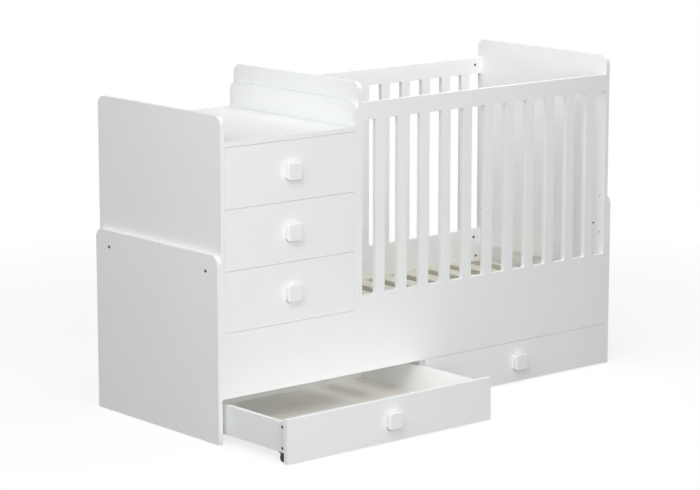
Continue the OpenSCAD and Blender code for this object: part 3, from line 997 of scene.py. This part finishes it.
# A connecting bolt with a flat hexagon-socket head whose underside is at the origin
def makeBolt():
    shape = boltShape
    piece = addRod("bolt", (0, 0, 0), 2, 0, shape["thick"], shape["head"])
    choose(piece, "FACE", lambda f: f.normal.z < -straight)
    bpy.ops.mesh.inset(thickness=shape["head"] - shape["shaft"])
    extrudeChosen(0, 0, -shape["long"])
    closeEdit()
    choose(piece, "EDGE", lambda e: middleOf(e).z > shape["thick"] - slack)
    roundChosen(*shape["soft"])
    cutAway(piece, [addRod("socket", (0, 0, 0), 2, *shape["socketEnds"], shape["socket"], 6)])
    piece.data.materials.append(zincDarkenedForShade)
    return piece


# Shares of a screw head's radius and depth
screwStyle = {"foot": 0.5, "point": 0.2, "slotLong": 0.6, "slotWide": 0.12, "slotDeep": 0.4}
longScrewShape = {"head": 4 * mm, "sink": 3 * mm, "length": 40 * mm}
stripScrewShape = {"head": 3 * mm, "sink": 2 * mm, "length": 20 * mm}


# A countersunk screw with a cross recess, its head at the origin looking up
def makeScrew(name, head, sink, length):
    style = screwStyle
    piece = addRod(name, (0, 0, 0), 2, -sink, 0, head)
    tip = Vector((0, 0, -sink))
    choose(piece, "FACE", lambda f: f.normal.z < -straight)
    bpy.ops.transform.resize(value=(style["foot"], style["foot"], 1), center_override=tip)
    for drop, narrow in ((length - sink - head, 1), (head, style["point"])):
        extrudeChosen(0, 0, -drop)
        tip.z -= drop
        bpy.ops.transform.resize(value=(narrow, narrow, 1), center_override=tip)
    closeEdit()
    cutCross(piece, head * style["slotLong"], head * style["slotWide"],
             -sink * style["slotDeep"], mm)
    piece.data.materials.append(zincDarkenedForShade)
    return piece


pinShape = {"steps": 24, "waist": (3 * mm, 5 * mm), "waistDeep": 0.9 * mm, "soft": 0.3 * mm}


# A pin with a waist near each end, where the cam's hook takes hold
def makePin(box):
    shape = pinShape
    axis = camFacing(box)[0]
    low, high = box[0][axis], box[1][axis]
    piece = addRod("pin", centreOf(box), axis, low, high, camSize["pin"], shape["steps"])
    nearLow = [low + reach for reach in shape["waist"]]
    nearHigh = [high - reach for reach in shape["waist"]]
    choose(piece, "FACE", lambda f: True)
    sliceAll(axis, nearLow + nearHigh)
    closeEdit()

    def inWaist(face):
        place = face.calc_center_median()[axis]
        return nearLow[0] < place < nearLow[1] or nearHigh[1] < place < nearHigh[0]

    choose(piece, "FACE", inWaist)
    inward = {"value": -shape["waistDeep"]}
    bpy.ops.mesh.extrude_region_shrink_fatten(TRANSFORM_OT_shrink_fatten=inward)
    closeEdit()
    softenEdges(piece, shape["soft"])
    piece.data.materials.append(brightZinc)
    return piece


# Axis and way that a bolt's head, a base screw's and a strip screw's look
def sideOfCase(box):
    return 0, 1 if box[0].x > 0 else -1


def inwardAcross(box):
    return 1, -1 if box[0].y > 0 else 1


def inwardAlong(box):
    return 0, 1 if box[0].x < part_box("top_knob")[0].x else -1


def buildFasteners():
    cam = makeCam()
    bolt = makeBolt()
    longScrew = makeScrew("longScrew", **longScrewShape)
    heads = placeHeads(cam, caseCams, camFacing)
    together("cam_locks_zinc", heads, "frame", ["cam_locks"])
    pins = [makePin(box) for box in solidsOf("cam_pins")]
    together("cam_pins_zinc", pins, "frame", ["cam_pins"])
    heads = placeHeads(bolt, bolts, sideOfCase, boltShape["thick"])
    together("panel_bolts_zinc", heads, "frame", ["panel_bolts"])
    heads = placeHeads(longScrew, screws, inwardAcross)
    together("base_screws_zinc", heads, "frame", ["base_screws"])
    for side in ("left", "right"):
        heads = placeHeads(cam, rollCams[side], camFacing)
        pins = [makePin(box) for box in rollPins[side]]
        together(side + "_roll_fasteners_zinc", [*heads, *pins], side + "_roll_drawer",
                 [side + "_roll_fasteners"])
    remove(cam, bolt, longScrew)


# Runner strips, each held by three small screws, and the floor glides

stripShape = {"edge": (2 * mm, 4), "soft": 0.4 * mm, "screwIn": 40 * mm, "sinkPlay": 1.05}


def buildStrips():
    shape = stripShape
    screw = makeScrew("stripScrew", **stripScrewShape)
    radius = stripScrewShape["head"] * shape["sinkPlay"]
    rails = []
    heads = []
    for box in strips:
        way = inwardAlong(box)[1]
        free = box[1].x if way > 0 else box[0].x
        piece = addBlock("strip", *box)
        choose(piece, "EDGE", lambda e: runsAlong(e, 1) and abs(middleOf(e).x - free) < slack)
        roundChosen(*shape["edge"])
        softenEdges(piece, shape["soft"])
        piece.data.materials.append(whitePlastic)
        sinks = []
        for y in (box[0].y + shape["screwIn"], centreOf(box).y, box[1].y - shape["screwIn"]):
            place = Vector((free, y, centreOf(box).z))
            ends = (free - way * stripScrewShape["sink"], free + way * mm)
            sinks.append(addRod("sink", place, 0, *ends, radius))
            heads.append(copyTo(screw, "stripScrew", facingMatrix(place, 0, way, free)))
        cutAway(piece, sinks)
        rails.append(piece)
    together("runner_strips_plastic", rails, "frame", ["runner_strips"])
    together("runner_strips_zinc", heads, "frame", [])
    remove(screw)


glideShape = {
    "soft": (1.2 * mm, 4), "rim": 2.6 * mm, "slope": 0.5 * mm, "dish": 1 * mm, "flat": 0.999,
}


# A round glide with a dish in its foot
def makeGlide():
    shape = glideShape
    low, high = solidsOf("floor_glides")[0]
    piece = addRod("glide", (0, 0, 0), 2, 0, high.z - low.z, (high.x - low.x) / 2)
    choose(piece, "EDGE", lambda e: middleOf(e).z < slack)
    roundChosen(*shape["soft"])
    choose(piece, "FACE", lambda f: f.normal.z < -shape["flat"])
    bpy.ops.mesh.inset(thickness=shape["rim"])
    bpy.ops.mesh.inset(thickness=shape["slope"], depth=-shape["dish"])
    closeEdit()
    piece.data.materials.append(greyPlastic)
    return piece


def buildGlides():
    glide = makeGlide()
    pieces = []
    for box in solidsOf("floor_glides"):
        centre = centreOf(box)
        place = Matrix.Translation((centre.x, centre.y, box[0].z))
        pieces.append(copyTo(glide, "glide", place))
    together("floor_glides_plastic", pieces, "frame", ["floor_glides"])
    remove(glide)


# Wheels and the forks that carry them

wheelShape = {
    "steps": 64, "shoulder": (1 * mm, 4), "tread": 0.5 * mm,
    "rim": 3 * mm, "slope": 1 * mm, "web": 3 * mm, "dish": 1 * mm, "hub": 2.95 * mm,
    "groove": 0.7 * mm, "grooveDeep": 0.6 * mm, "soft": 0.2 * mm, "softAngle": 30,
}
forkShape = {
    "cheek": 3 * mm, "plate": 2.5 * mm, "corner": 3 * mm, "cornerSteps": 4,
    "round": (5.98 * mm, 10), "soft": 0.4 * mm, "play": 0.02 * mm,
    "axle": 2 * mm, "axleRim": 0.7 * mm, "axleDish": 0.5 * mm, "axleSoft": 0.2 * mm,
    "screwHead": 2.6 * mm, "screwHigh": 1.4 * mm, "screwOut": 11.5 * mm, "screwSteps": 24,
    "screwSoft": (0.8 * mm, 3),
    "slotLong": 1.5 * mm, "slotWide": 0.35 * mm, "slotEnds": (2 * mm, 0.8 * mm),
}


# A wheel round the X axis with dished sides, a raised hub and a groove in its tread
def makeWheel():
    shape = wheelShape
    low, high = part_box("left_roll_wheel_front_left")
    radius = (high.z - low.z) / 2
    half = (high.x - low.x) / 2
    piece = addRod("wheel", (0, 0, 0), 0, -half, half, radius, shape["steps"])
    for material in (blackRubber, blackPlastic):
        piece.data.materials.append(material)
    choose(piece, "FACE", lambda f: abs(f.normal.x) > straight)
    bpy.ops.mesh.inset(thickness=shape["rim"])
    bpy.ops.mesh.inset(thickness=shape["slope"], depth=-shape["dish"])
    bpy.ops.mesh.inset(thickness=shape["web"])
    bpy.ops.mesh.inset(thickness=shape["slope"], depth=shape["dish"])
    bpy.ops.mesh.inset(thickness=shape["hub"])
    bpy.ops.mesh.delete(type="FACE")
    closeEdit()
    # the hub's bore
    choose(piece, "EDGE", lambda e: e.is_boundary)
    bpy.ops.mesh.bridge_edge_loops()
    bpy.ops.mesh.select_all(action="SELECT")
    bpy.ops.mesh.normals_make_consistent(inside=False)
    sliceAll(0, (-shape["groove"], shape["groove"]))
    closeEdit()

    def outer(place):
        return Vector((place.y, place.z)).length > radius - shape["tread"]

    def inGroove(face):
        place = face.calc_center_median()
        return abs(place.x) < shape["groove"] / 2 and outer(place)

    choose(piece, "FACE", inGroove)
    inward = {"value": -shape["grooveDeep"]}
    bpy.ops.mesh.extrude_region_shrink_fatten(TRANSFORM_OT_shrink_fatten=inward)
    closeEdit()
    choose(piece, "EDGE", lambda e: all(abs(v.co.x) > half - slack and outer(v.co)
                                        for v in e.verts))
    roundChosen(*shape["shoulder"])
    softenEdges(piece, shape["soft"], angle=shape["softAngle"])
    for face in piece.data.polygons:
        away = Vector((face.center.y, face.center.z)).length
        face.material_index = 1 if away < radius - shape["rim"] else 0
    return piece


# A fork round a wheel at the origin: a screwed plate, two rounded cheeks and a pressed-in axle
def makeFork():
    shape = forkShape
    low, high = [corner - centreOf(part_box("left_roll_wheel_front_left")) for corner in forkBox()]
    under = high.z - shape["plate"]
    cheekIn = high.x - shape["cheek"]
    piece = addBlock("fork", (low.x, low.y, under), high)
    choose(piece, "EDGE", lambda e: runsAlong(e, 2))
    bpy.ops.mesh.bevel(offset=shape["corner"], segments=shape["cornerSteps"], affect="EDGES")
    sliceAll(0, (-cheekIn, cheekIn))
    sliceAll(1, (low.z, -low.z))
    closeEdit()

    def cheekRoot(face):
        place = face.calc_center_median()
        return face.normal.z < -straight and abs(place.x) > cheekIn and abs(place.y) < -low.z

    choose(piece, "FACE", cheekRoot)
    extrudeChosen(0, 0, low.z - under)
    closeEdit()
    choose(piece, "EDGE", lambda e: runsAlong(e, 0) and middleOf(e).z < low.z + slack)
    roundChosen(*shape["round"])
    bore = shape["axle"] + shape["play"]
    cutAway(piece, [addRod("bore", (0, 0, 0), 0, low.x - mm, high.x + mm, bore)])
    softenEdges(piece, shape["soft"])
    piece.data.materials.append(blackPlastic)
    axle = makeAxle(low.x, high.x)
    heads = [makeForkScrew(y, under) for y in (-shape["screwOut"], shape["screwOut"])]
    return joinAll([piece, axle, *heads])


def makeAxle(start, end):
    shape = forkShape
    axle = addRod("axle", (0, 0, 0), 0, start, end, shape["axle"])
    choose(axle, "FACE", lambda f: abs(f.normal.x) > straight)
    bpy.ops.mesh.inset(thickness=shape["axleRim"])
    bpy.ops.mesh.inset(thickness=shape["axleDish"], depth=-shape["axleDish"])
    closeEdit()
    softenEdges(axle, shape["axleSoft"])
    axle.data.materials.append(zincDarkenedForShade)
    return axle


# The slotted head of a screw under a fork's plate
def makeForkScrew(y, under):
    shape = forkShape
    foot = under - shape["screwHigh"]
    head = addRod("head", (0, y, 0), 2, foot, under, shape["screwHead"], shape["screwSteps"])
    choose(head, "EDGE", lambda e: middleOf(e).z < foot + slack)
    roundChosen(*shape["screwSoft"])
    low, high = [under - drop for drop in shape["slotEnds"]]
    thin = shape["slotWide"]
    cutAway(head, [addBlock("slot", (-shape["slotLong"], y - thin, low),
                            (shape["slotLong"], y + thin, high))])
    head.data.materials.append(zincDarkenedForShade)
    return head


# Box of the fork round the first wheel
def forkBox():
    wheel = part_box("left_roll_wheel_front_left")
    near = [box for box in solidsOf("left_roll_forks") if touches(box, wheel)]
    low = Vector([min(box[0][axis] for box in near) for axis in range(3)])
    high = Vector([max(box[1][axis] for box in near) for axis in range(3)])
    return low, high


def buildWheels():
    wheel = makeWheel()
    fork = makeFork()
    for side in ("left", "right"):
        forks = []
        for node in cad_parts:
            if node.startswith(side + "_roll_wheel"):
                place = Matrix.Translation(centreOf(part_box(node)))
                forks.append(copyTo(fork, "fork", place))
                settle(copyTo(wheel, node + "_rubber", place), node, [node])
        together(side + "_roll_forks_plastic", forks, side + "_roll_drawer",
                 [side + "_roll_forks"])
    remove(wheel, fork)


buildLowFrame()
print("low frame built")
buildChest()
buildCrib()
print("chest and crib built")
buildBase()
buildChestDrawers()
buildRollDrawers()
remove(knobPattern, knobScrewPattern)
print("base and drawers built")
buildFasteners()
buildStrips()
buildGlides()
buildWheels()
print("fasteners and wheels built")


# Floor, light and world

studio = {
    "floor": (0.24, 0.24, 0.24), "size": 40, "rough": 0.9, "glow": 0.79, "near": 1.3, "far": 3.0,
    "sky": 0.34, "bounces": 12, "allBounces": 16,
}

# Each lamp's place, the point it looks at, its size and power, and its beam where it is narrow
lamps = {
    "keyLamp": {"place": (-4.0, -3.5, 4.2), "target": (-0.2, 0, 0.6), "size": 3.0, "power": 106},
    "frontFill": {"place": (-1.8, -5, 1.5), "target": (-0.4, -0.3, 0.4), "size": 2.5, "power": 98},
    "sideFill": {"place": (-4.2, -0.8, 2.2), "target": (-0.2, 0, 0.6), "size": 2.5, "power": 32},
    "wideTop": {"place": (0.3, 0, 3.4), "target": (0.3, 0, 0.5), "size": 2.5, "power": 9.5},
    "narrowTop": {"place": (0.35, -0.25, 2.5), "target": (0.4, 0.1, 0.4), "size": 0.8, "power": 3.8,
                  "beam": 90},
}


# One for a camera, glossy or transmission ray, and nought for the light's own rays
def seenDirectly(tree):
    ray = addNode(tree, "LightPath", {}).outputs
    seen = ray["Is Camera Ray"]
    for other in ("Is Glossy Ray", "Is Transmission Ray"):
        seen = addNode(tree, "Math", {0: seen, 1: ray[other]}, operation="MAXIMUM").outputs[0]
    return seen


# The floor takes the shadow, and fades to plain white away from the crib
def addFloor():
    deselectAll()
    bpy.ops.mesh.primitive_plane_add(size=studio["size"])
    floor = named("studioFloor")
    material, tree, shader = newMaterial("studioFloor")
    shader.inputs["Base Color"].default_value = (*studio["floor"], 1)
    shader.inputs["Roughness"].default_value = studio["rough"]
    shader.inputs["Specular IOR Level"].default_value = 0.0
    glow = addNode(tree, "Emission", {"Strength": studio["glow"]})
    both = addNode(tree, "AddShader", {0: shader.outputs[0], 1: glow.outputs[0]})
    place = addNode(tree, "TexCoord", {}).outputs["Object"]
    away = addNode(tree, "VectorMath", {0: place}, operation="LENGTH").outputs["Value"]
    fade = spread(tree, away, 0, 1, studio["near"], studio["far"])
    white = addNode(tree, "Emission", {"Strength": 1.0})
    shown = addNode(tree, "MixShader", {0: fade, 1: both.outputs[0], 2: white.outputs[0]})
    mixed = addNode(tree, "MixShader", {0: seenDirectly(tree), 1: shader.outputs[0],
                                        2: shown.outputs[0]})
    tree.links.new(mixed.outputs[0], tree.nodes["Material Output"].inputs["Surface"])
    floor.data.materials.append(material)


def addWorld():
    world = bpy.data.worlds.new("studioWorld")
    bpy.context.scene.world = world
    world.use_nodes = True
    tree = world.node_tree
    soft = tree.nodes["Background"]
    soft.inputs["Color"].default_value = (1, 1, 1, 1)
    soft.inputs["Strength"].default_value = studio["sky"]
    white = addNode(tree, "Background", {"Color": (1, 1, 1, 1), "Strength": 1.0})
    mixed = addNode(tree, "MixShader", {0: seenDirectly(tree), 1: soft.outputs[0],
                                        2: white.outputs[0]})
    tree.links.new(mixed.outputs[0], tree.nodes["World Output"].inputs["Surface"])


def addLamp(name, place, target, size, power, beam=180):
    lamp = bpy.data.lights.new(name, "AREA")
    lamp.shape = "DISK"
    lamp.size = size
    lamp.energy = power
    lamp.spread = math.radians(beam)
    light = bpy.data.objects.new(name, lamp)
    light.location = place
    aim = Vector(target) - Vector(place)
    light.rotation_euler = aim.to_track_quat("-Z", "Y").to_euler()
    bpy.context.scene.collection.objects.link(light)


addFloor()
addWorld()
for name, settings in lamps.items():
    addLamp(name, **settings)
bpy.context.scene.view_settings.view_transform = "Standard"
bpy.context.scene.cycles.diffuse_bounces = studio["bounces"]
bpy.context.scene.cycles.max_bounces = studio["allBounces"]
print("studio lit")
